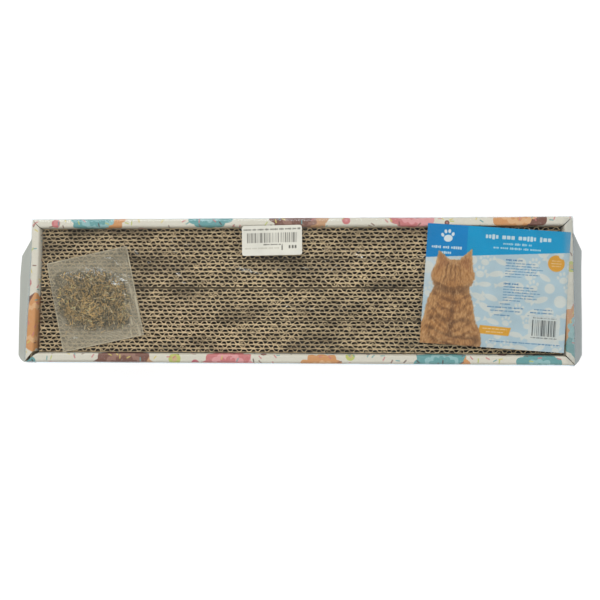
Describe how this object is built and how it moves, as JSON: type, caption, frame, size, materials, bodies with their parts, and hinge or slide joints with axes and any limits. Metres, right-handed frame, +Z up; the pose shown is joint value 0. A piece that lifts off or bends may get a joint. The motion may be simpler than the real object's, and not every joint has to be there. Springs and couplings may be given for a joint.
{
  "type": "cardboard cat scratcher",
  "caption": "Flat cat scratcher: corrugated cardboard strips on edge in a folded, printed board tray, wrapped in clear film with a catnip sachet, a label card and a price sticker.",
  "frame": {"origin": "middle of the tray, at the underside of the film", "axes": "+X along the tray, from the sachet towards the label card; +Y across the tray, towards the edge where the price sticker is; +Z up, out of the open scratching face"},
  "size_m": [0.4732, 0.1208, 0.0411],
  "materials": {
    "tray_board": "coated and printed board, satin",
    "corrugated": "raw kraft paper, saw-cut edges, matte",
    "label_card": "coated printed card, satin",
    "sachet_film": "thin clear plastic bag, hazy gloss",
    "catnip": "dried, crumbled leaf and stem, matte",
    "shrink_film": "clear shrink film, glossy, a little creased",
    "sticker_paper": "smooth label paper, satin"
  },
  "bodies": {
    "root": {"tray": "tray_board", "pad1_strip1": "corrugated", "pad1_strip2": "corrugated", "pad1_strip3": "corrugated", "pad1_strip4": "corrugated", "pad1_strip5": "corrugated", "pad1_strip6": "corrugated", "pad1_strip7": "corrugated", "pad1_strip8": "corrugated", "pad2_strip1": "corrugated", "pad2_strip2": "corrugated", "pad2_strip3": "corrugated", "pad2_strip4": "corrugated", "pad2_strip5": "corrugated", "pad2_strip6": "corrugated", "pad2_strip7": "corrugated", "pad3_strip1": "corrugated", "pad3_strip2": "corrugated", "pad3_strip3": "corrugated", "pad3_strip4": "corrugated", "pad3_strip5": "corrugated", "pad3_strip6": "corrugated", "pad3_strip7": "corrugated", "pad3_strip8": "corrugated", "pad4_strip1": "corrugated", "pad4_strip2": "corrugated", "pad4_strip3": "corrugated", "pad4_strip4": "corrugated", "pad4_strip5": "corrugated", "pad4_strip6": "corrugated", "pad4_strip7": "corrugated", "pad4_strip8": "corrugated", "label_card": "label_card", "sachet_bag": "sachet_film", "catnip": "catnip", "shrink_film": "shrink_film", "price_sticker": "sticker_paper"}
  },
  "joints": []
}
